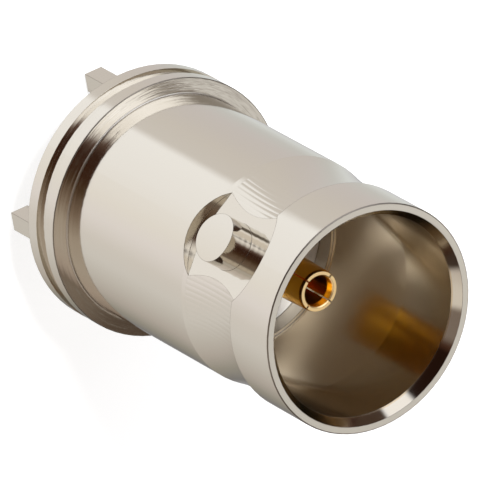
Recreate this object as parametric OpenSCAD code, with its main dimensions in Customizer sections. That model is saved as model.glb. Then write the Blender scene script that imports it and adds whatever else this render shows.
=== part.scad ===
// Straight BNC jack for a printed circuit board: a turned and milled shell with
// two bayonet lugs and four solder legs, an insulator and a slotted contact.
// Millimetres. The origin lies on the axis, in the plane that seats on the board,
// and +Z points out of the mouth. The lugs stand on the X axis.

/* [Shell] */
// Height of the mouth above the board
shell_h = 16.3; // [15.5:0.1:19]
// Outer diameter of the barrel and of the nose
barrel_d = 9.65; // [9.6:0.01:9.7]
// Chamfer that breaks the outer edge of the nose
nose_break = 0.04; // [0.02:0.01:0.1]
// Fillet where the barrel meets the flange
root_fillet = 0.07; // [0.05:0.01:0.3]

/* [Mouth and bore] */
// Wall between the bore and the outside of the barrel
bore_wall = 0.765; // [0.75:0.005:0.8]
// Width of the flat rim at the mouth
rim_w = 0.3; // [0.2:0.01:0.35]
// Radial opening of the lead-in taper over the bore
lead_flare = 0.17; // [0.1:0.01:0.19]
// Depth of the mouth's chamfer
chamfer_depth = 0.39; // [0.3:0.01:0.5]
// Depth where the lead-in taper reaches the bore
taper_depth = 3.3; // [2.6:0.1:3.6]
// Depth of the shoulder that the plug butts against
bore_depth = 8.45; // [8.31:0.01:8.6]
// Radial width of that shoulder
shoulder_w = 0.13; // [0.1:0.01:0.35]
// Depth from the shoulder to the face of the insulator
recess_depth = 0.75; // [0.4:0.05:1.2]

/* [Bayonet lugs] */
// Distance across the two lugs
lug_span = 11; // [10.97:0.01:11.07]
// Diameter of a lug
lug_d = 2.04; // [1.91:0.01:2.06]
// Distance from the mouth to the lugs' centres
lug_depth = 4.22; // [4.1:0.01:4.4]
// Diameter of the round pocket milled about each lug
pocket_d = 4.95; // [4.4:0.05:5.1]
// Depth of each pocket's flat floor below the barrel
pocket_depth = 0.435; // [0.38:0.005:0.5]
// Distance from the mouth to the groove behind the nose
nose_h = 2.65; // [2.3:0.05:2.9]
// Width of the groove
groove_w = 3.5; // [3.3:0.05:3.8]
// Depth of the groove at its waist
groove_waist = 0.2; // [0.15:0.01:0.28]
// Distance from the groove's rear end to its waist
groove_run = 1.95; // [1.7:0.05:2.4]

/* [Flange] */
// Diameter of both flange rings
flange_d = 11; // [10.6:0.1:12]
// Thickness of each ring
ring_h = 0.62; // [0.5:0.01:0.8]
// Width of the slot between the rings
slot_h = 0.62; // [0.4:0.01:0.8]
// Depth of that slot
slot_depth = 0.18; // [0.1:0.01:0.65]
// Chamfer on the front ring's front edge and the rear ring's back edge
ring_break = 0.03; // [0.02:0.01:0.12]

/* [Legs] */
// Side of the square legs
leg_w = 0.8; // [0.7:0.05:0.85]
// Length of the legs below the board plane
leg_len = 2.35; // [2:0.05:4]
// Leg-to-leg distance along X and along Y
leg_pitch = 6.35; // [6.3:0.05:6.6]
// Chamfer round the tip of each leg
leg_chamfer = 0.13; // [0.05:0.01:0.2]

/* [Insulator] */
// Radial step in the shell that the insulator butts against
seat_step = 0.1; // [0.08:0.01:0.15]
// Height of that step above the board
seat_step_h = 5.6; // [4.5:0.1:6.2]
// Thickness of the lip that is rolled in behind the insulator
lip_h = 0.3; // [0.2:0.05:0.5]
// Radial reach of that lip over the insulator
lip_w = 0.3; // [0.15:0.01:0.45]
// Radial clearance of the press-assembled pieces
fit_gap = 0.02; // [0.01:0.01:0.04]

/* [Contact] */
// Depth of the contact's tip below the mouth
tip_depth = 3.49; // [3.3:0.01:3.6]
// Diameter of the contact where it leaves the insulator
contact_d = 2.06; // [1.98:0.01:2.21]
// Diameter just behind the closed-in tip
tip_d = 1.76; // [1.7:0.01:1.9]
// Length of the rounded nose in front of it
tip_nose = 0.14; // [0.08:0.01:0.2]
// Diameter of the contact's hole
hole_d = 1.32; // [1.3:0.01:1.37]
// Depth of the hole
hole_depth = 5.2; // [4.6:0.1:6]
// Point angle of the drill that makes the hole
drill_angle = 118; // [110:1:140]
// Chamfer inside and outside each tine's tip
tip_break = 0.04; // [0.03:0.01:0.08]
// Width of the slots between the tines
tine_slot_w = 0.06; // [0.05:0.01:0.2]
// Length of the slots
tine_slot_len = 3.9; // [3:0.1:4.2]
// Turn of the slots about the axis, from the lugs
tine_turn = -10.5; // [-45:0.5:45]
// Diameter of the solder tail
tail_d = 0.95; // [0.8:0.05:1]
// Length of the solder tail below the board plane
tail_len = 2.3; // [2:0.05:4]
// Chamfer round the end of the tail
tail_chamfer = 0.15; // [0.05:0.01:0.25]
// Diameter of the contact's stem in the insulator
stem_d = 1.3; // [1.3:0.05:1.6]
// Height where the stem ends and the thinner tail begins
stem_h = 0.18; // [0.1:0.01:0.25]
// Height of the contact's shoulder in the insulator
contact_seat_h = 3; // [2:0.1:4]

/* [Hidden] */
$fn = 96;
LUGS = 2;
LEGS = 4;
TINE_CUTS = 2;
barrel_r = barrel_d / 2;
flange_r = flange_d / 2;
slot_r = flange_r - slot_depth;
bore_r = barrel_r - bore_wall;
recess_r = bore_r - shoulder_w;
seat_r = recess_r + seat_step;
pocket_floor = barrel_r - pocket_depth;
flange_h = 2 * ring_h + slot_h;
groove_top = shell_h - nose_h;
groove_bottom = groove_top - groove_w;
groove_arc_r = (pow(groove_run, 2) + pow(groove_waist, 2)) / (2 * groove_waist);
lug_h = shell_h - lug_depth;
lug_root = (bore_r + pocket_floor) / 2;
shoulder_h = shell_h - bore_depth;
insulator_top = shoulder_h - recess_depth;
leg_circle_r = leg_pitch / sqrt(2);
leg_root = ring_h / 2;
tip_h = shell_h - tip_depth;
past = 1; // how far a cutter runs past what it cuts

// Outside of the shell before milling: flange rings, slot, barrel and nose
module shell_outline() {
    polygon([
        [0, 0],
        [flange_r - ring_break, 0],
        [flange_r, ring_break],
        [flange_r, ring_h],
        [slot_r, ring_h],
        [slot_r, ring_h + slot_h],
        [flange_r, ring_h + slot_h],
        [flange_r, flange_h - ring_break],
        [flange_r - ring_break, flange_h],
        [barrel_r, flange_h],
        [barrel_r, shell_h - nose_break],
        [barrel_r - nose_break, shell_h],
        [0, shell_h]
    ]);
    // Fillet in the corner between the flange and the barrel
    difference() {
        translate([barrel_r - root_fillet, flange_h - root_fillet])
            square(2 * root_fillet);
        translate([barrel_r + root_fillet, flange_h + root_fillet])
            circle(root_fillet);
    }
}

// Inside of the shell: chamfered mouth, lead-in taper, bore with its shoulder,
// recess, insulator seat and the opening in the rolled lip
module bore_outline() {
    polygon([
        [0, -past],
        [seat_r - lip_w, -past],
        [seat_r - lip_w, lip_h],
        [seat_r, lip_h],
        [seat_r, seat_step_h],
        [recess_r, seat_step_h],
        [recess_r, shoulder_h],
        [bore_r, shoulder_h],
        [bore_r, shell_h - taper_depth],
        [bore_r + lead_flare, shell_h - chamfer_depth],
        [barrel_r - rim_w, shell_h],
        [barrel_r - rim_w, shell_h + past],
        [0, shell_h + past]
    ]);
}

// Section of the groove behind the nose: an arc that leaves the barrel, sinks to a
// waist and ends in a step at the nose
module groove_outline() {
    intersection() {
        translate([barrel_r - groove_waist + groove_arc_r, groove_bottom + groove_run])
            circle(groove_arc_r, $fn = 360);
        translate([barrel_r - groove_waist - past, groove_bottom - past])
            square([groove_waist + 2 * past, groove_w + past]);
    }
}

// Round flat-floored pocket that a hollow mill leaves about one lug
module lug_pocket() {
    translate([pocket_floor, 0, lug_h])
        rotate([0, 90, 0])
            cylinder(h = flange_r, d = pocket_d);
}

// One lug, its top turned to the span across the lugs
module lug() {
    intersection() {
        translate([lug_root, 0, lug_h])
            rotate([0, 90, 0])
                cylinder(h = lug_span, d = lug_d);
        cylinder(h = shell_h, d = lug_span, $fn = 180);
    }
}

// Side view of a leg, from its root in the flange to its chamfered tip
module leg_outline() {
    polygon([
        [-leg_w / 2, leg_root],
        [-leg_w / 2, leg_chamfer - leg_len],
        [leg_chamfer - leg_w / 2, -leg_len],
        [leg_w / 2 - leg_chamfer, -leg_len],
        [leg_w / 2, leg_chamfer - leg_len],
        [leg_w / 2, leg_root]
    ]);
}

// One square leg with all four edges of its tip chamfered
module leg() {
    intersection() {
        rotate([90, 0, 0])
            linear_extrude(leg_w, center = true)
                leg_outline();
        rotate([90, 0, 90])
            linear_extrude(leg_w, center = true)
                leg_outline();
    }
}

// The shell, turned, milled and drilled from one bar
module shell() {
    color([0.80, 0.77, 0.73]) {
        difference() {
            rotate_extrude($fn = 180)
                shell_outline();
            rotate_extrude($fn = 180)
                groove_outline();
            for (i = [0 : LUGS - 1])
                rotate(i * 360 / LUGS)
                    lug_pocket();
            rotate_extrude($fn = 180)
                bore_outline();
        }
        for (i = [0 : LUGS - 1])
            rotate(i * 360 / LUGS)
                lug();
        for (i = [0 : LEGS - 1])
            rotate(45 + i * 360 / LEGS)
                translate([leg_circle_r, 0, 0])
                    leg();
    }
}

// Insulator that fills the back of the shell and carries the contact
module insulator() {
    color([0.95, 0.94, 0.91])
        rotate_extrude()
            polygon([
                [stem_d / 2 + fit_gap, lip_h],
                [seat_r - fit_gap, lip_h],
                [seat_r - fit_gap, seat_step_h],
                [recess_r - fit_gap, seat_step_h],
                [recess_r - fit_gap, insulator_top],
                [contact_d / 2 + fit_gap, insulator_top],
                [contact_d / 2 + fit_gap, contact_seat_h],
                [stem_d / 2 + fit_gap, contact_seat_h]
            ]);
}

// Half section of the contact: tail, stem, shoulder, body and closed-in tip, with its
// hole
module contact_outline() {
    drill_point = hole_d / 2 / tan(drill_angle / 2);
    polygon([
        [0, -tail_len],
        [tail_d / 2 - tail_chamfer, -tail_len],
        [tail_d / 2, tail_chamfer - tail_len],
        [tail_d / 2, stem_h],
        [stem_d / 2, stem_h],
        [stem_d / 2, contact_seat_h],
        [contact_d / 2, contact_seat_h],
        [contact_d / 2, insulator_top],
        [tip_d / 2, tip_h - tip_nose],
        [tip_d / 2 - tip_break, tip_h],
        [hole_d / 2 + tip_break, tip_h],
        [hole_d / 2, tip_h - tip_break],
        [hole_d / 2, tip_h - hole_depth],
        [0, tip_h - hole_depth - drill_point]
    ]);
}

// Gold-plated socket contact with its tines cut by crossing slots
module contact() {
    color([0.83, 0.62, 0.22])
        difference() {
            rotate_extrude()
                contact_outline();
            for (i = [0 : TINE_CUTS - 1])
                rotate(tine_turn + i * 180 / TINE_CUTS)
                    translate([-contact_d, -tine_slot_w / 2, tip_h - tine_slot_len])
                        cube([2 * contact_d, tine_slot_w, tine_slot_len + past]);
        }
}

shell();
insulator();
contact();
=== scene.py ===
"""Looks and studio of a straight coaxial bayonet jack for a circuit board.

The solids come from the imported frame. Each operator finishes one of the real pieces,
and one sets up the studio. Sizes are in metres unless a name or comment says otherwise.
"""

import math
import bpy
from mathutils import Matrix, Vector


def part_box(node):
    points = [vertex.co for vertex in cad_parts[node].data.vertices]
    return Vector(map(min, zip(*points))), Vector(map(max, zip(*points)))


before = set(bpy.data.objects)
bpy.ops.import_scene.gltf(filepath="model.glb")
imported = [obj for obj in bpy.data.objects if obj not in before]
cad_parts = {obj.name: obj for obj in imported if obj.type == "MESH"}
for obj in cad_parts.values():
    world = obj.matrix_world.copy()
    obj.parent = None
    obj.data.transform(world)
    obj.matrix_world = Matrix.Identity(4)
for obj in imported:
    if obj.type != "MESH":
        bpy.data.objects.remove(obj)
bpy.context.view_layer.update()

from types import SimpleNamespace

import bpy
import numpy as np
from bpy.props import FloatProperty, FloatVectorProperty, PointerProperty
from mathutils import Matrix, Vector

bl_info = {
    "name": "Coaxial Jack Finishes",
    "version": (1, 0, 0),
    "blender": (4, 5, 0),
    "location": "3D View > Sidebar > Jack",
    "description": "Finishes the pieces of a coaxial bayonet jack and lights them",
    "category": "Material",
}

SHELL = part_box("shell")
BASE = float(SHELL[0][2])
MOUTH = float(SHELL[1][2])
# Millimetres in a metre
MM = 1000
# Direction of the axis for a Tangent. The slight lean to one side keeps it from lying
# along the normal of a flat face.
UPWARD = {0: 0.0, 1: 0.01, 2: 1.0}
# Noise keeps to about a quarter of its range, so the depth of a mark is multiplied by this
NOISE_RANGE = 4
# Rays that a Bevel node sends out for each sample
BEVEL_RAYS = 8


def srgb(text):
    """Linear red, green and blue of an sRGB hex colour."""
    values = [int(text[i : i + 2], 16) / 255 for i in (1, 3, 5)]
    return [v / 12.92 if v <= 0.04045 else ((v + 0.055) / 1.055) ** 2.4 for v in values]


def add(tree, kind, links=None, **settings):
    """Add a node, set its properties, and fill its inputs with values or other nodes.

    An input goes by its name or its number. In a Mix node 0 is the share of the second,
    2 and 3 are the two numbers, and 6 and 7 the two colours.
    """
    node = tree.nodes.new(kind)
    for name, value in settings.items():
        setattr(node, name, value)
    for key, value in (links or {}).items():
        if isinstance(value, bpy.types.Node):
            value = value.outputs[0]
        if isinstance(value, bpy.types.NodeSocket):
            tree.links.new(value, node.inputs[key])
        else:
            node.inputs[key].default_value = value
    return node


def new_material(name):
    """A node material with an empty tree, and that tree."""
    material = bpy.data.materials.new(name)
    material.use_nodes = True
    material.node_tree.nodes.clear()
    return material, material.node_tree


def dress(node_name, material):
    """Give a CAD node one material."""
    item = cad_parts[node_name]
    for slot in item.material_slots:
        slot.material = material


def surface_places(tree):
    """Millimetre places of a surface point: the point itself, its x, y and height, and
    its radius, which is the length of its x and y."""
    coords = add(tree, "ShaderNodeTexCoord")
    point = add(
        tree,
        "ShaderNodeVectorMath",
        {0: coords.outputs["Object"], "Scale": MM},
        operation="SCALE",
    )
    split = add(tree, "ShaderNodeSeparateXYZ", {0: point})
    flat = add(tree, "ShaderNodeVectorMath", {0: point, 1: (1, 1, 0)}, operation="MULTIPLY")
    length = add(tree, "ShaderNodeVectorMath", {0: flat}, operation="LENGTH")
    return SimpleNamespace(
        point=point,
        x=split.outputs[0],
        y=split.outputs[1],
        height=split.outputs[2],
        radius=length.outputs["Value"],
    )


def within(tree, *limits):
    """1 where each value lies above its lower and below its upper limit, and 0 elsewhere.

    A limit of None isn't tested. The tests are multiplied together.
    """
    tests = [
        add(tree, "ShaderNodeMath", {0: value, 1: limit}, operation=operation)
        for value, lower, upper in limits
        for limit, operation in ((lower, "GREATER_THAN"), (upper, "LESS_THAN"))
        if limit is not None
    ]
    share = tests[0]
    for test in tests[1:]:
        share = add(tree, "ShaderNodeMath", {0: share, 1: test}, operation="MULTIPLY")
    return share


def direction(azimuth, elevation):
    """Unit vector that points out at an azimuth and an elevation."""
    return Vector(
        (
            math.cos(elevation) * math.cos(azimuth),
            math.cos(elevation) * math.sin(azimuth),
            math.sin(elevation),
        )
    )


class JackShell(bpy.types.PropertyGroup):
    """Finish of the plated shell."""

    plate: FloatVectorProperty(
        name="Plating",
        description="Colour of the nickel plating",
        subtype="COLOR",
        default=srgb("#D4CDC1"),
        min=0,
        max=1,
    )
    # Painted warm shade in the bore: a darker, warmer copy of the plating that stands in for
    # light passed down the bore from wall to wall
    painted_bore_shade: FloatVectorProperty(
        name="Bore plating",
        description="Colour of the thinner plating in the bore, where brass shows through",
        subtype="COLOR",
        default=srgb("#D0C0A6"),
        min=0,
        max=1,
    )
    # Painted shade: a darker copy of the plating laid along the edges, standing in for the dark
    # reflections that rounded edges catch
    edge_painted_shade: FloatVectorProperty(
        name="Worn plating",
        description="Colour of the plating along the worn edges",
        subtype="COLOR",
        default=srgb("#8E857A"),
        min=0,
        max=1,
    )
    # Painted shade in the crease at the barrel's root: a darker copy of the plating
    fillet_painted_shade: FloatVectorProperty(
        name="Fillet plating",
        description="Colour of the plating in the fillet at the barrel's root",
        subtype="COLOR",
        default=srgb("#BFB7AB"),
        min=0,
        max=1,
    )
    polish: FloatProperty(
        name="Outside roughness", description="Roughness of the turned outside", default=0.09
    )
    bore_polish: FloatProperty(
        name="Bore roughness", description="Roughness of the bored inside", default=0.15
    )
    tooled_polish: FloatProperty(
        name="Tooled roughness",
        description="Roughness of the recess and the fillet, which no buff reaches",
        default=0.35,
    )
    # Roughness of the edges that carry the painted dark line
    edge_dull_polish: FloatProperty(
        name="Worn roughness", description="Roughness of the worn edges", default=0.4
    )
    edge: FloatProperty(
        name="Edge radius",
        description="Radius that tumbling and plating leave on each edge",
        default=0.000012,
        unit="LENGTH",
    )
    # Width of the painted dark line along each edge
    edge_line: FloatProperty(
        name="Edge line",
        description="Width of the dull line that wear leaves along each edge",
        default=0.000026,
        unit="LENGTH",
    )
    facet_pitch: FloatProperty(
        name="Facet pitch",
        description="Distance between the milled facets beside the lugs",
        default=0.00022,
        unit="LENGTH",
    )
    facet_depth: FloatProperty(
        name="Facet depth",
        description="Depth of those facets",
        default=0.000006,
        unit="LENGTH",
    )
    ring_pitch: FloatProperty(
        name="Ring pitch",
        description="Distance between the cutter's rings round each lug",
        default=0.00034,
        unit="LENGTH",
    )
    ring_depth: FloatProperty(
        name="Ring depth",
        description="Depth of those rings",
        default=0.00000035,
        unit="LENGTH",
    )
    turned_depth: FloatProperty(
        name="Turning marks",
        description="Depth of the turning marks on the flange's face",
        default=0.000006,
        unit="LENGTH",
    )
    face_slope: FloatProperty(
        name="Face slope",
        description="Slope that facing leaves on the flange's face, falling outwards",
        subtype="ANGLE",
        default=math.radians(4),
    )
    chamfer_turn: FloatProperty(
        name="Chamfer turn",
        description="How much steeper polishing leaves the mouth's chamfer",
        subtype="ANGLE",
        default=math.radians(3),
    )
    wave_depth: FloatProperty(
        name="Waviness",
        description="Depth of the slow waviness of buffed plating",
        default=0.0000005,
        unit="LENGTH",
    )
    bore_grain: FloatProperty(
        name="Bore grain",
        description="How far the boring marks draw reflections out along the axis",
        default=0.75,
    )
    lug_depth: FloatProperty(
        name="Lug depth",
        description="Distance from the mouth to the lugs' centres",
        default=0.00422,
        unit="LENGTH",
    )


class JackInsulator(bpy.types.PropertyGroup):
    """Finish of the insulator."""

    body: FloatVectorProperty(
        name="Fluoroplastic",
        description="Colour of the insulator",
        subtype="COLOR",
        default=srgb("#F1EEE7"),
        min=0,
        max=1,
    )
    polish: FloatProperty(
        name="Roughness", description="Roughness where it is as it was turned", default=0.5
    )
    handled_polish: FloatProperty(
        name="Handled roughness",
        description="Roughness where handling left it smoother",
        default=0.36,
    )
    ring_pitch: FloatProperty(
        name="Ring pitch",
        description="Usual distance between the rings that the lathe leaves on the face",
        default=0.00018,
        unit="LENGTH",
    )
    ring_depth: FloatProperty(
        name="Ring depth",
        description="Depth of those rings",
        default=0.00000125,
        unit="LENGTH",
    )


class JackContact(bpy.types.PropertyGroup):
    """Finish of the contact."""

    plate: FloatVectorProperty(
        name="Gold",
        description="Colour of the gold plating",
        subtype="COLOR",
        default=srgb("#FFC645"),
        min=0,
        max=1,
    )
    tip: FloatVectorProperty(
        name="Tip",
        description="Colour of the burnished ring at the tip",
        subtype="COLOR",
        default=srgb("#FBD9A0"),
        min=0,
        max=1,
    )
    polish: FloatProperty(
        name="Outside roughness", description="Roughness of the turned outside", default=0.16
    )
    socket_polish: FloatProperty(
        name="Socket roughness", description="Roughness of the drilled inside", default=0.22
    )
    nose_polish: FloatProperty(
        name="Nose roughness", description="Roughness of the coned nose", default=0.4
    )
    socket_grain: FloatProperty(
        name="Socket grain",
        description="How far the drilling marks draw reflections out along the axis",
        default=0.5,
    )
    edge: FloatProperty(
        name="Edge radius",
        description="Radius that tumbling and plating leave on each edge",
        default=0.00002,
        unit="LENGTH",
    )
    lead: FloatProperty(
        name="Lead",
        description="Slope of the polished lead inside the socket's mouth",
        subtype="ANGLE",
        default=math.radians(27),
    )


class JackStudio(bpy.types.PropertyGroup):
    """Camera, lamp and floor."""

    azimuth: FloatProperty(
        name="Azimuth",
        description="Direction of the camera about the axis, from the lug",
        subtype="ANGLE",
        default=math.radians(-1.329),
    )
    elevation: FloatProperty(
        name="Elevation",
        description="Height of the camera above the board plane",
        subtype="ANGLE",
        default=math.radians(50.564),
    )
    roll: FloatProperty(
        name="Roll",
        description="Turn of the camera about its view",
        subtype="ANGLE",
        default=math.radians(119.039),
    )
    distance: FloatProperty(
        name="Distance",
        description="Distance of the camera from its aim",
        default=0.5121,
        unit="LENGTH",
    )
    aim: FloatVectorProperty(
        name="Aim",
        description="Point in the jack that the camera looks at",
        subtype="XYZ",
        default=(0.0005984, -0.000279, 0.0076499),
        unit="LENGTH",
    )
    lens: FloatProperty(
        name="Lens", description="Focal length in millimetres", default=959.93
    )
    lamp: FloatProperty(
        name="Lamp", description="Power of the lamp in the main soft box", default=1.9
    )
    lamp_azimuth: FloatProperty(
        name="Lamp azimuth",
        description="Direction of the lamp about the axis, from the lug",
        subtype="ANGLE",
        default=math.radians(-39),
    )
    lamp_elevation: FloatProperty(
        name="Lamp elevation",
        description="Height of the lamp above the board plane",
        subtype="ANGLE",
        default=math.radians(53.5),
    )
    lamp_distance: FloatProperty(
        name="Lamp distance",
        description="Distance of the lamp from the jack",
        default=0.4,
        unit="LENGTH",
    )
    lamp_size: FloatProperty(
        name="Lamp size",
        description="Diameter of the lamp",
        default=0.08,
        unit="LENGTH",
    )
    floor: FloatProperty(
        name="Floor", description="Side of the floor", default=3.0, unit="LENGTH"
    )
    glow: FloatProperty(
        name="Floor glow",
        description="Light that the floor adds for the camera's eye alone",
        default=0.82,
    )


# Limits of the shell's surfaces in millimetres, each a little clear of the surface that
# it takes in: radii about the axis, heights above the board plane, and distances out
# along the lugs' axis
BORED_RADIUS = 4.27
SHOULDER_HEIGHT = 7.9
WAIST_RADII = (4.5, 4.79)
WAIST_HEIGHTS = (10.4, 13.63)
WAIST_REACH = 4.385
POCKET_FLOOR_START = 4.3
POCKET_FLOOR_END = 4.44
POCKET_RADIUS = 2.45
LUG_RADIUS = 1.04
SLOT_HEIGHTS = (0.45, 1.3)
FACE_HEIGHTS = (1.8, 2.0)
FACE_RADIUS = 4.9
FACE_EDGE_HEIGHTS = (1.825, 1.94)
FACE_EDGE_RADIUS = 5.465
FILLET_RADIUS = 4.885
MOUTH_EDGE_DEPTH = 0.045
MOUTH_EDGE_RADIUS = 4.78
CHAMFER_DEPTH = 0.39
CHAMFER_RADIUS = 4.8

# Height gained per distance along the mouth's chamfer
CHAMFER_RISE = 0.8
# Radius at which the facets' pitch is measured round the waist, in millimetres
WAIST_RADIUS = 4.6
# Angles from the nearer lug at which the facets begin to fade and are gone, in degrees
FACET_FADE = (22, 62)
# Cosines of the turn across an edge at which its worn line begins and is full
WEAR_TURN = (0.9985, 0.985)
# Turning marks on the flange's face: how many there are in a millimetre, how far they
# wander in for each radian round the axis, and the two places in y, in millimetres,
# between which they fade to a last share
MARKS = 8.0
MARK_DRIFT = 0.25
MARK_FADE = (0.0, 3.0)
MARK_LAST = 0.2
# Waves of the buffed plating in a millimetre
WAVES = 0.9


class JACK_OT_shell(bpy.types.Operator):
    """Plate the shell with bright nickel over turned and milled brass"""

    bl_idname = "jack.shell"
    bl_label = "Finish the shell"

    def execute(self, context):
        values = context.scene.jack_shell
        # Bright nickel over turned brass: a warm mirror that shows the studio's panels,
        # with soft edges, milled facets beside the lugs, a duller bored inside, and painted
        # shade in the bore, in the fillet and along the edges
        material, tree = new_material("bright_nickel_on_turned_brass")
        at = surface_places(tree)
        inside = within(tree, (at.radius, None, BORED_RADIUS))
        bored = within(
            tree, (at.radius, None, BORED_RADIUS), (at.height, SHOULDER_HEIGHT, None)
        )
        recess = add(tree, "ShaderNodeMath", {0: inside, 1: bored}, operation="SUBTRACT")
        fillet = within(
            tree, (at.height, *FACE_EDGE_HEIGHTS), (at.radius, None, FILLET_RADIUS)
        )
        shade_painted = self.shade_painted_edges(tree, values, at, fillet)
        # Finishes of the shell, each laid over those before it. The colours of the bore, of the
        # edges and of the fillet are painted shade.
        rough = values.polish
        colour = (*values.plate, 1)
        for share, polish, plate in (
            (bored, values.bore_polish, values.painted_bore_shade),
            (recess, values.tooled_polish, values.plate),
            (shade_painted, values.edge_dull_polish, values.edge_painted_shade),
            (fillet, values.tooled_polish, values.fillet_painted_shade),
        ):
            rough = add(
                tree, "ShaderNodeMix", {0: share, 2: rough, 3: polish}, data_type="FLOAT"
            )
            mixed = add(
                tree,
                "ShaderNodeMix",
                {0: share, 6: colour, 7: (*plate, 1)},
                data_type="RGBA",
            )
            colour = mixed.outputs[2]
        # Reflections in the bore draw out along the axis, across the boring marks
        grain = add(
            tree, "ShaderNodeMath", {0: bored, 1: values.bore_grain}, operation="MULTIPLY"
        )
        upward = add(tree, "ShaderNodeCombineXYZ", UPWARD)
        shader = add(
            tree,
            "ShaderNodeBsdfPrincipled",
            {
                "Base Color": colour,
                "Metallic": 1.0,
                "Roughness": rough,
                "Normal": self.relief(tree, values, at),
                "Anisotropic": grain,
                "Tangent": upward,
            },
        )
        add(tree, "ShaderNodeOutputMaterial", {"Surface": shader})
        dress("shell", material)
        return {"FINISHED"}

    def shade_painted_edges(self, tree, values, at, fillet):
        """Dull, darker line along each edge: painted dark edge reflections, with a rougher
        finish.

        It shows where the normal of a wide rounding turns away from the surface's own.
        The slot and the fillet are left out, and the edges of the mouth and of the
        flange's face get the painted dark line all along.
        """
        solid = add(tree, "ShaderNodeNewGeometry")
        rounded = add(tree, "ShaderNodeBevel", {0: values.edge_line}, samples=BEVEL_RAYS)
        turned = add(
            tree,
            "ShaderNodeVectorMath",
            {0: rounded, 1: solid.outputs["True Normal"]},
            operation="DOT_PRODUCT",
        )
        line = add(
            tree,
            "ShaderNodeMapRange",
            {0: turned.outputs["Value"], 1: WEAR_TURN[0], 2: WEAR_TURN[1]},
        )
        slot = within(tree, (at.height, *SLOT_HEIGHTS))
        bright = add(tree, "ShaderNodeMath", {0: slot, 1: fillet}, operation="MAXIMUM")
        others = add(tree, "ShaderNodeMath", {0: 1.0, 1: bright}, operation="SUBTRACT")
        shade_painted = add(tree, "ShaderNodeMath", {0: line, 1: others}, operation="MULTIPLY")
        # The edges of the mouth and of the flange's face get the painted dark line all along
        mouth_edge = within(
            tree,
            (at.height, MOUTH * MM - MOUTH_EDGE_DEPTH, None),
            (at.radius, MOUTH_EDGE_RADIUS, None),
        )
        face_edge = within(
            tree, (at.height, *FACE_EDGE_HEIGHTS), (at.radius, FACE_EDGE_RADIUS, None)
        )
        for edge in (mouth_edge, face_edge):
            shade_painted = add(tree, "ShaderNodeMath", {0: shade_painted, 1: edge}, operation="MAXIMUM")
        return shade_painted

    def relief(self, tree, values, at):
        """Normal of the finished surface: each edge rounded, then the tools' marks and
        the slopes that are too slight for the solid, one over another.

        Each relief is a height, the depth that it stands for, and whether it sinks.
        """
        outward = add(tree, "ShaderNodeMath", {0: at.x}, operation="ABSOLUTE")
        angle = add(tree, "ShaderNodeMath", {0: at.y, 1: at.x}, operation="ARCTAN2")
        # Slow waviness of buffed plating, about 1 mm across and under a micron deep
        waves = add(
            tree, "ShaderNodeTexNoise", {"Vector": at.point, "Scale": WAVES, "Detail": 2.0}
        )
        normal = add(tree, "ShaderNodeBevel", {0: values.edge}, samples=BEVEL_RAYS)
        for height, depth, sunk in (
            (self.facets(tree, values, at, outward, angle), values.facet_depth, False),
            (self.lug_rings(tree, values, at, outward), values.ring_depth, False),
            (self.turning_marks(tree, at, angle), values.turned_depth * NOISE_RANGE, False),
            (self.face_fall(tree, at), math.tan(values.face_slope) / MM, True),
            (
                self.chamfer_rise(tree, at),
                math.tan(values.chamfer_turn) / CHAMFER_RISE / MM,
                False,
            ),
            (waves, values.wave_depth * NOISE_RANGE, False),
        ):
            normal = add(
                tree,
                "ShaderNodeBump",
                {"Height": height, "Distance": depth, "Normal": normal},
                invert=sunk,
            )
        return normal

    def facets(self, tree, values, at, outward, angle):
        """Milled facets on the waist beside the lugs, parallel to the axis.

        The sine of the arc from the nearer lug, without its sign, gives rounded hollows
        with sharp crests. They fade with the angle from the lug.
        """
        turn = add(
            tree,
            "ShaderNodeMath",
            {0: angle, 1: math.pi / 2, 2: -math.pi / 2},
            operation="WRAP",
        )
        arc = add(tree, "ShaderNodeMath", {0: turn, 1: WAIST_RADIUS}, operation="MULTIPLY")
        phase = add(
            tree,
            "ShaderNodeMath",
            {0: arc, 1: math.pi / (values.facet_pitch * MM)},
            operation="MULTIPLY",
        )
        wave = add(tree, "ShaderNodeMath", {0: phase}, operation="SINE")
        hollow = add(tree, "ShaderNodeMath", {0: wave}, operation="ABSOLUTE")
        away = add(tree, "ShaderNodeMath", {0: turn}, operation="ABSOLUTE")
        near = add(
            tree,
            "ShaderNodeMapRange",
            {
                0: away,
                1: math.radians(FACET_FADE[0]),
                2: math.radians(FACET_FADE[1]),
                3: 1.0,
                4: 0.0,
            },
            interpolation_type="SMOOTHSTEP",
        )
        waist = within(
            tree,
            (at.height, *WAIST_HEIGHTS),
            (at.radius, *WAIST_RADII),
            (outward, None, WAIST_REACH),
        )
        strength = add(tree, "ShaderNodeMath", {0: near, 1: waist}, operation="MULTIPLY")
        return add(tree, "ShaderNodeMath", {0: hollow, 1: strength}, operation="MULTIPLY")

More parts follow.
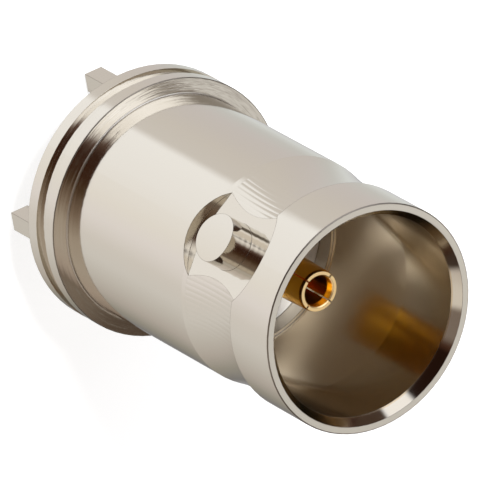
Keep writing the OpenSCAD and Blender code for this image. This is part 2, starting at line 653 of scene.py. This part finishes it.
    def lug_rings(self, tree, values, at, outward):
        """Rings that the hollow mill leaves on each lug's side and on the pocket's floor.

        They are a sine of the distance out along the lug on its side, and of the distance
        from the lug's axis on the floor.
        """
        lug_centre = (MOUTH - values.lug_depth) * MM
        lifted = add(
            tree, "ShaderNodeVectorMath", {0: at.point, 1: (0, 0, -lug_centre)}, operation="ADD"
        )
        across = add(
            tree, "ShaderNodeVectorMath", {0: lifted, 1: (0, 1, 1)}, operation="MULTIPLY"
        )
        length = add(tree, "ShaderNodeVectorMath", {0: across}, operation="LENGTH")
        reach = length.outputs["Value"]
        on_lug = within(tree, (reach, None, LUG_RADIUS))
        on_floor = within(
            tree, (outward, None, POCKET_FLOOR_END), (reach, None, POCKET_RADIUS)
        )
        beyond = within(tree, (outward, POCKET_FLOOR_START, None))
        cut = add(tree, "ShaderNodeMath", {0: on_lug, 1: on_floor}, operation="MAXIMUM")
        ringed = add(tree, "ShaderNodeMath", {0: cut, 1: beyond}, operation="MULTIPLY")
        along = add(
            tree, "ShaderNodeMix", {0: on_lug, 2: reach, 3: outward}, data_type="FLOAT"
        )
        phase = add(
            tree,
            "ShaderNodeMath",
            {0: along, 1: 2 * math.pi / (values.ring_pitch * MM)},
            operation="MULTIPLY",
        )
        wave = add(tree, "ShaderNodeMath", {0: phase}, operation="SINE")
        return add(tree, "ShaderNodeMath", {0: wave, 1: ringed}, operation="MULTIPLY")

    def turning_marks(self, tree, at, angle):
        """Turning marks on the flange's face: noise that changes fast with the radius and
        slowly round the axis, fading along y."""
        face = within(tree, (at.height, *FACE_HEIGHTS), (at.radius, FACE_RADIUS, None))
        drift = add(tree, "ShaderNodeMath", {0: angle, 1: MARK_DRIFT}, operation="MULTIPLY")
        spiral = add(tree, "ShaderNodeCombineXYZ", {0: at.radius, 1: drift})
        streaks = add(
            tree, "ShaderNodeTexNoise", {"Vector": spiral, "Scale": MARKS, "Detail": 3.0}
        )
        fade = add(
            tree,
            "ShaderNodeMapRange",
            {0: at.y, 1: MARK_FADE[0], 2: MARK_FADE[1], 3: 1.0, 4: MARK_LAST},
        )
        strength = add(tree, "ShaderNodeMath", {0: face, 1: fade}, operation="MULTIPLY")
        return add(tree, "ShaderNodeMath", {0: streaks, 1: strength}, operation="MULTIPLY")

    def face_fall(self, tree, at):
        """How far out on the flange's face a point lies, as the face falls a little
        towards its edge."""
        low = within(tree, (at.height, None, FACE_HEIGHTS[1]))
        over = add(tree, "ShaderNodeMath", {0: at.radius, 1: FACE_RADIUS}, operation="SUBTRACT")
        fall = add(tree, "ShaderNodeMath", {0: over, 1: 0.0}, operation="MAXIMUM")
        return add(tree, "ShaderNodeMath", {0: fall, 1: low}, operation="MULTIPLY")

    def chamfer_rise(self, tree, at):
        """How far up the mouth's chamfer a point lies, as it is polished a little steeper
        than it was cut."""
        foot = MOUTH * MM - CHAMFER_DEPTH
        over = add(tree, "ShaderNodeMath", {0: at.height, 1: foot}, operation="SUBTRACT")
        rise = add(tree, "ShaderNodeMath", {0: over, 1: 0.0}, operation="MAXIMUM")
        lip = within(tree, (at.radius, None, CHAMFER_RADIUS))
        return add(tree, "ShaderNodeMath", {0: rise, 1: lip}, operation="MULTIPLY")


class JACK_OT_insulator(bpy.types.Operator):
    """Make the insulator of turned fluoroplastic"""

    bl_idname = "jack.insulator"
    bl_label = "Finish the insulator"

    def execute(self, context):
        values = context.scene.jack_insulator
        # Turned fluoroplastic: a waxy matte white, with fine rings from the lathe
        material, tree = new_material("turned_white_fluoroplastic")
        at = surface_places(tree)
        # Uneven rings that the lathe leaves round the axis
        grooves = add(
            tree,
            "ShaderNodeTexNoise",
            {"W": at.radius, "Scale": 1 / (values.ring_pitch * MM), "Detail": 1.0},
            noise_dimensions="1D",
        )
        ringed = add(
            tree,
            "ShaderNodeBump",
            {"Height": grooves, "Distance": values.ring_depth * NOISE_RANGE},
        )
        # Patches, about 2 mm across, that handling left a little smoother. The noise
        # keeps to about 0.3 to 0.7.
        handled = add(
            tree, "ShaderNodeTexNoise", {"Vector": at.point, "Scale": 0.6, "Detail": 2.0}
        )
        rough = add(
            tree,
            "ShaderNodeMapRange",
            {0: handled, 1: 0.3, 2: 0.7, 3: values.handled_polish, 4: values.polish},
        )
        shader = add(
            tree,
            "ShaderNodeBsdfPrincipled",
            {
                "Base Color": (*values.body, 1),
                "Roughness": rough,
                "IOR": 1.36,
                "Normal": ringed,
            },
        )
        add(tree, "ShaderNodeOutputMaterial", {"Surface": shader})
        dress("insulator", material)
        return {"FINISHED"}


# Limits of the contact's surfaces in millimetres: radii about the axis and heights above
# the board plane
SOCKET_RADIUS = 0.7
NOSE_RADIUS = 0.9
NOSE_HEIGHT = 12.6
TIP_HEIGHT = 12.72
LEAD_HEIGHT = 12.4


class JACK_OT_contact(bpy.types.Operator):
    """Plate the contact with bright gold"""

    bl_idname = "jack.contact"
    bl_label = "Finish the contact"

    def execute(self, context):
        values = context.scene.jack_contact
        # Bright gold over turned bronze: deep warm reflections inside the socket
        material, tree = new_material("bright_gold_on_turned_bronze")
        at = surface_places(tree)
        inside = within(tree, (at.radius, None, SOCKET_RADIUS))
        burnished = within(tree, (at.height, TIP_HEIGHT, None))
        colour = add(
            tree,
            "ShaderNodeMix",
            {0: burnished, 6: (*values.plate, 1), 7: (*values.tip, 1)},
            data_type="RGBA",
        )
        # The drilled inside is duller than the turned outside, and the nose duller still
        nose = within(tree, (at.radius, NOSE_RADIUS, None), (at.height, NOSE_HEIGHT, None))
        rough = values.polish
        for share, polish in ((inside, values.socket_polish), (nose, values.nose_polish)):
            rough = add(
                tree, "ShaderNodeMix", {0: share, 2: rough, 3: polish}, data_type="FLOAT"
            )
        grain = add(
            tree, "ShaderNodeMath", {0: inside, 1: values.socket_grain}, operation="MULTIPLY"
        )
        upward = add(tree, "ShaderNodeCombineXYZ", UPWARD)
        edges = add(tree, "ShaderNodeBevel", {0: values.edge}, samples=BEVEL_RAYS)
        # Polished lead just inside the mouth of the socket
        over = add(tree, "ShaderNodeMath", {0: at.height, 1: LEAD_HEIGHT}, operation="SUBTRACT")
        rise = add(tree, "ShaderNodeMath", {0: over, 1: 0.0}, operation="MAXIMUM")
        lead = add(tree, "ShaderNodeMath", {0: rise, 1: inside}, operation="MULTIPLY")
        flared = add(
            tree,
            "ShaderNodeBump",
            {"Height": lead, "Distance": math.tan(values.lead) / MM, "Normal": edges},
            invert=True,
        )
        shader = add(
            tree,
            "ShaderNodeBsdfPrincipled",
            {
                "Base Color": colour.outputs[2],
                "Metallic": 1.0,
                "Roughness": rough,
                "Normal": flared,
                "Anisotropic": grain,
                "Tangent": upward,
            },
        )
        add(tree, "ShaderNodeOutputMaterial", {"Surface": shader})
        dress("contact", material)
        return {"FINISHED"}


# Light of the table round the jack by azimuth in degrees, as red, green and blue
TABLE = [
    (-180, (0.42, 0.42, 0.42)),
    (-168, (0.66, 0.66, 0.66)),
    (-156, (0.77, 0.80, 0.79)),
    (-139, (0.71, 0.72, 0.71)),
    (-119, (0.77, 0.74, 0.75)),
    (-99, (0.80, 0.77, 0.77)),
    (-79, (0.84, 0.81, 0.79)),
    (-57, (0.87, 0.85, 0.84)),
    (-50, (1.24, 1.27, 1.32)),
    (-14, (1.20, 1.22, 1.26)),
    (21, (1.10, 1.09, 1.08)),
    (41, (1.05, 1.03, 1.06)),
    (62, (0.90, 0.88, 0.87)),
    (81, (0.85, 0.84, 0.83)),
    (101, (0.72, 0.70, 0.67)),
    (121, (0.58, 0.54, 0.50)),
    (141, (0.37, 0.35, 0.30)),
    (161, (0.22, 0.21, 0.20)),
    (180, (0.42, 0.42, 0.42)),
]

# Light of the upper room in the same way: a dark room about the camera, the main soft
# box on one side of it and a weaker one on the other, and pale walls beyond
ROOM = [
    (-180, (0.875, 0.875, 0.875)),
    (-168, (0.88, 0.88, 0.88)),
    (-160, (0.6, 0.58, 0.57)),
    (-152, (0.45, 0.43, 0.42)),
    (-119, (0.44, 0.42, 0.41)),
    (-110, (1.25, 1.3, 1.4)),
    (-101, (1.8, 1.9, 2.1)),
    (-72, (2.0, 2.15, 2.45)),
    (-36, (1.7, 1.78, 1.95)),
    (-25, (0.2, 0.13, 0.11)),
    (-12, (0.07, 0.03, 0.02)),
    (12, (0.08, 0.035, 0.02)),
    (24, (0.12, 0.07, 0.04)),
    (46, (0.37, 0.29, 0.24)),
    (70, (0.71, 0.65, 0.6)),
    (98, (0.75, 0.7, 0.66)),
    (126, (0.66, 0.58, 0.53)),
    (158, (0.3, 0.24, 0.2)),
    (171, (0.21, 0.17, 0.13)),
    (177, (0.8, 0.8, 0.79)),
    (180, (0.875, 0.875, 0.875)),
]

# Patches low in the room, laid over the rest: azimuth and elevation of the middle, half
# width and half height and the softness of the edges, all in degrees, then the level
PATCHES = [
    # Gaps between the table's far edge and the walls
    (-98, 3, 30, 14, 8, (0.08, 0.05, 0.035)),
    (109, 0, 30, 13, 8, (0.06, 0.04, 0.03)),
    # Low end of the main soft box
    (-56, 15, 13, 11, 6, (1.3, 1.3, 1.32)),
    # Darker wall far behind the jack
    (163, 44, 12, 7, 5, (0.11, 0.08, 0.06)),
    # The darkest part of the room, over the camera's stand, and its paler side
    (33, 22, 18, 9, 10, (0.27, 0.22, 0.19)),
    (-17.5, 21, 25.5, 11, 6, (0.02, 0.008, 0.005)),
    # Low end of the weaker soft box
    (61, 16, 16, 8, 7, (0.87, 0.82, 0.75)),
    # Pale card at the table's edge
    (52, 0, 8, 7, 6, (0.85, 0.85, 0.85)),
    # Edge of the table under the main soft box
    (-50, -13, 14, 8, 6, (0.2, 0.18, 0.16)),
]

# Elevations, in degrees, between which the table's light gives way to the room's, the
# room's to a dim ceiling straight above, and the table's to its own pale foot below
HORIZON = (-16, 8)
CEILING = (68, 78)
FOOT = (-72, -84)
CEILING_LIGHT = (0.35, 0.33, 0.31, 1)
FOOT_LIGHT = (0.9, 0.9, 0.9, 1)
# How much wider the dark room about the camera is low down, and the elevations, in
# degrees, between which that is lost
WIDENING = 0.28
WIDENING_HEIGHTS = (20, 44)


def around(tree, azimuth, stops):
    """A ramp of light by azimuth: straight lines from each stop to the next."""
    place = add(tree, "ShaderNodeMapRange", {0: azimuth, 1: -math.pi, 2: math.pi})
    node = add(tree, "ShaderNodeValToRGB", {0: place})
    ramp = node.color_ramp
    while len(ramp.elements) < len(stops):
        ramp.elements.new(0.5)
    for element, (degrees, colour) in zip(ramp.elements, stops):
        element.position = (degrees + 180) / 360
        element.color = (*colour, 1)
    return node


def by_height(tree, elevation, limits, first, second):
    """Light that passes from the first to the second by a smooth step between two
    elevations in degrees."""
    start, end = limits
    share = add(
        tree,
        "ShaderNodeMapRange",
        {0: elevation, 1: math.radians(start), 2: math.radians(end)},
        interpolation_type="SMOOTHSTEP",
    )
    mixed = add(tree, "ShaderNodeMix", {0: share, 6: first, 7: second}, data_type="RGBA")
    return mixed.outputs[2]


def patched(tree, azimuth, elevation, patch, level):
    """Light with one patch laid over it.

    The patch is the product of two smooth steps, one by the distance from its middle
    across and one by that up or down, each halfway at the patch's edge.
    """
    middle, height, wide, tall, soft, colour = patch
    shares = []
    for value, centre, half in ((azimuth, middle, wide), (elevation, height, tall)):
        shift = add(
            tree, "ShaderNodeMath", {0: value, 1: math.radians(centre)}, operation="SUBTRACT"
        )
        away = add(tree, "ShaderNodeMath", {0: shift}, operation="ABSOLUTE")
        share = add(
            tree,
            "ShaderNodeMapRange",
            {0: away, 1: math.radians(half + soft / 2), 2: math.radians(half - soft / 2)},
            interpolation_type="SMOOTHSTEP",
        )
        shares.append(share)
    inside = add(tree, "ShaderNodeMath", {0: shares[0], 1: shares[1]}, operation="MULTIPLY")
    mixed = add(
        tree, "ShaderNodeMix", {0: inside, 6: level, 7: (*colour, 1)}, data_type="RGBA"
    )
    return mixed.outputs[2]


class JACK_OT_studio(bpy.types.Operator):
    """Set up the floor, the light tent, the lamp and the camera"""

    bl_idname = "jack.studio"
    bl_label = "Set up the studio"

    def execute(self, context):
        values = context.scene.jack_studio
        scene = context.scene
        scene.view_settings.view_transform = "Standard"
        self.add_floor(values)
        self.add_world(scene)
        self.add_lamp(values)
        self.add_camera(scene, values)
        return {"FINISHED"}

    def add_floor(self, values):
        """A square at the height of the legs' ends."""
        half = values.floor / 2
        corners = np.array([[-1, -1], [1, -1], [1, 1], [-1, 1]]) * half
        points = np.column_stack([corners, np.full(4, BASE)])
        mesh = bpy.data.meshes.new("floor")
        mesh.from_pydata(points.tolist(), [], [[0, 1, 2, 3]])
        floor = bpy.data.objects.new("floor", mesh)
        bpy.context.collection.objects.link(floor)
        # White sweep: pale to the eye, and it keeps a faint shadow
        material, tree = new_material("white_sweep")
        path = add(tree, "ShaderNodeLightPath")
        matte = add(tree, "ShaderNodeBsdfDiffuse", {"Color": (*srgb("#A0A0A0"), 1)})
        glow = add(tree, "ShaderNodeEmission", {"Strength": values.glow})
        both = add(tree, "ShaderNodeAddShader", {0: matte, 1: glow})
        seen = add(
            tree,
            "ShaderNodeMixShader",
            {0: path.outputs["Is Camera Ray"], 1: matte, 2: both},
        )
        add(tree, "ShaderNodeOutputMaterial", {"Surface": seen})
        mesh.materials.append(material)
        floor.visible_glossy = False

    def add_world(self, scene):
        """Light tent, by direction alone: the pale table below, and above it the room
        with its soft boxes. To the camera's own eye it is plain white."""
        world = bpy.data.worlds.new("light_tent")
        world.use_nodes = True
        scene.world = world
        tree = world.node_tree
        tree.nodes.clear()
        coords = add(tree, "ShaderNodeTexCoord")
        split = add(tree, "ShaderNodeSeparateXYZ", {0: coords.outputs["Generated"]})
        azimuth = add(
            tree,
            "ShaderNodeMath",
            {0: split.outputs[1], 1: split.outputs[0]},
            operation="ARCTAN2",
        )
        elevation = add(tree, "ShaderNodeMath", {0: split.outputs[2]}, operation="ARCSINE")
        table = around(tree, azimuth, TABLE)
        room = around(tree, self.room_azimuth(tree, azimuth, elevation), ROOM)
        level = by_height(tree, elevation, HORIZON, table, room)
        for patch in PATCHES:
            level = patched(tree, azimuth, elevation, patch, level)
        level = by_height(tree, elevation, CEILING, level, CEILING_LIGHT)
        level = by_height(tree, elevation, FOOT, level, FOOT_LIGHT)
        path = add(tree, "ShaderNodeLightPath")
        shown = add(
            tree,
            "ShaderNodeMix",
            {0: path.outputs["Is Camera Ray"], 6: level, 7: (1, 1, 1, 1)},
            data_type="RGBA",
        )
        back = add(tree, "ShaderNodeBackground", {"Color": shown.outputs[2]})
        add(tree, "ShaderNodeOutputWorld", {"Surface": back})

    def room_azimuth(self, tree, azimuth, elevation):
        """Azimuth at which the room's light is read, so that the dark room about the
        camera narrows with height.

        It is the azimuth less its sine, times a weight that is 1 towards the camera and 0
        away from it, times the widening that is left at that height.
        """
        low, high = WIDENING_HEIGHTS
        widening = add(
            tree,
            "ShaderNodeMapRange",
            {0: elevation, 1: math.radians(low), 2: math.radians(high), 3: WIDENING, 4: 0.0},
        )
        sideways = add(tree, "ShaderNodeMath", {0: azimuth}, operation="SINE")
        ahead = add(tree, "ShaderNodeMath", {0: azimuth}, operation="COSINE")
        nearness = add(
            tree, "ShaderNodeMath", {0: ahead, 1: 0.5, 2: 0.5}, operation="MULTIPLY_ADD"
        )
        shift = sideways
        for factor in (nearness, widening):
            shift = add(tree, "ShaderNodeMath", {0: shift, 1: factor}, operation="MULTIPLY")
        return add(tree, "ShaderNodeMath", {0: azimuth, 1: shift}, operation="SUBTRACT")

    def add_lamp(self, values):
        """The lamp in the main soft box: it lights the matt insulator down in the bore,
        and the metal shows the soft box instead."""
        data = bpy.data.lights.new("key_lamp", "AREA")
        data.shape = "DISK"
        data.size = values.lamp_size
        data.energy = values.lamp
        lamp = bpy.data.objects.new("key_lamp", data)
        bpy.context.collection.objects.link(lamp)
        lamp.visible_glossy = False
        lamp.visible_camera = False
        towards = direction(values.lamp_azimuth, values.lamp_elevation)
        lamp.location = values.lamp_distance * towards
        lamp.rotation_euler = towards.to_track_quat("Z", "Y").to_euler()

    def add_camera(self, scene, values):
        """The camera looks at its aim from an azimuth and elevation, and is then rolled
        about its view."""
        data = bpy.data.cameras.new("camera")
        # Millimetres, as the lens is
        data.sensor_width = 36
        data.lens = values.lens
        data.clip_start = 0.01
        camera = bpy.data.objects.new("camera", data)
        bpy.context.collection.objects.link(camera)
        back = direction(values.azimuth, values.elevation)
        level = Vector((0, 0, 1)).cross(back).normalized()
        rise = back.cross(level)
        right = math.cos(values.roll) * level + math.sin(values.roll) * rise
        top = back.cross(right)
        place = Matrix((right, top, back)).transposed().to_4x4()
        place.translation = Vector(values.aim) + values.distance * back
        camera.matrix_world = place
        scene.camera = camera


class JACK_PT_finishes(bpy.types.Panel):
    """Finishes of the jack"""

    bl_label = "Coaxial jack"
    bl_idname = "JACK_PT_finishes"
    bl_space_type = "VIEW_3D"
    bl_region_type = "UI"
    bl_category = "Jack"

    def draw(self, context):
        for title, name, group, operator in SECTIONS:
            box = self.layout.box()
            box.label(text=title)
            for key in group.__annotations__:
                box.prop(getattr(context.scene, name), key)
            box.operator(operator.bl_idname)


# Title in the sidebar, name on the scene, property group and operator
SECTIONS = [
    ("Shell", "jack_shell", JackShell, JACK_OT_shell),
    ("Insulator", "jack_insulator", JackInsulator, JACK_OT_insulator),
    ("Contact", "jack_contact", JackContact, JACK_OT_contact),
    ("Studio", "jack_studio", JackStudio, JACK_OT_studio),
]


def register():
    for _, name, group, operator in SECTIONS:
        bpy.utils.register_class(group)
        setattr(bpy.types.Scene, name, PointerProperty(type=group))
        bpy.utils.register_class(operator)
    bpy.utils.register_class(JACK_PT_finishes)


def unregister():
    bpy.utils.unregister_class(JACK_PT_finishes)
    for _, name, group, operator in reversed(SECTIONS):
        bpy.utils.unregister_class(operator)
        delattr(bpy.types.Scene, name)
        bpy.utils.unregister_class(group)


def main():
    register()
    bpy.ops.jack.shell()
    bpy.ops.jack.insulator()
    bpy.ops.jack.contact()
    bpy.ops.jack.studio()


if __name__ == "__main__":
    main()
